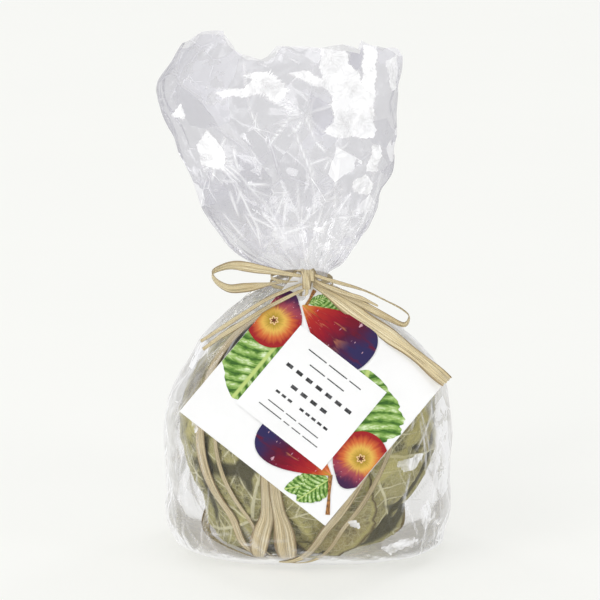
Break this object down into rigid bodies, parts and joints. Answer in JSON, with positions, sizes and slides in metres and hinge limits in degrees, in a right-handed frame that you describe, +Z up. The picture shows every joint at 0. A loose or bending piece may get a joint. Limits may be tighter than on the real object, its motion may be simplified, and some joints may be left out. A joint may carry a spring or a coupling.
{
  "type": "bagged ball of baked figs wrapped in fig leaves",
  "caption": "Ball of baked figs wrapped in dried fig leaves and bound with raffia, in a clear film gift bag tied with a raffia bow and hung with a square card tag.",
  "frame": {"origin": "centre of the bag's flat base, on the surface it stands on", "axes": "+Z up through the neck of the bag, -Y towards the front, where the tag hangs, +X to the right seen from the front"},
  "size_m": [0.097, 0.1135, 0.1777],
  "materials": {
    "film": "clear crinkled cellophane film, glossy",
    "fig_leaf": "dried fig leaf, olive brown, pale veins, semi-matt",
    "raffia": "natural raffia, straw coloured, fibrous, satin",
    "baked_fig": "dark baked fig flesh, wrinkled, slightly sticky",
    "tag_card": "white uncoated card with a printed fig and leaf pattern, matt"
  },
  "bodies": {
    "root": {"fig_01": "baked_fig", "fig_02": "baked_fig", "fig_03": "baked_fig", "fig_04": "baked_fig", "fig_05": "baked_fig", "fig_06": "baked_fig", "fig_07": "baked_fig", "fig_08": "baked_fig", "fig_09": "baked_fig", "fig_10": "baked_fig", "fig_11": "baked_fig", "fig_12": "baked_fig", "fig_13": "baked_fig", "leaf_base": "fig_leaf", "leaf_back": "fig_leaf", "leaf_crown": "fig_leaf", "leaf_right": "fig_leaf", "leaf_left": "fig_leaf", "binding_left_wide": "raffia", "binding_left_narrow": "raffia", "binding_front_left": "raffia", "binding_front_right": "raffia", "binding_right_wide": "raffia", "binding_right_narrow": "raffia", "binding_knot": "raffia", "neck_tie": "raffia", "bow_loop_left": "raffia", "bow_loop_right_outer": "raffia", "bow_loop_right_inner": "raffia", "bow_tail_right": "raffia", "bow_tail_left_upper": "raffia", "bow_tail_left_lower": "raffia", "tie_strand_left": "raffia", "tie_strand_right": "raffia", "bow_knot": "raffia", "tag_string": "raffia", "film_bag": "film", "gift_tag": "tag_card"}
  },
  "joints": []
}
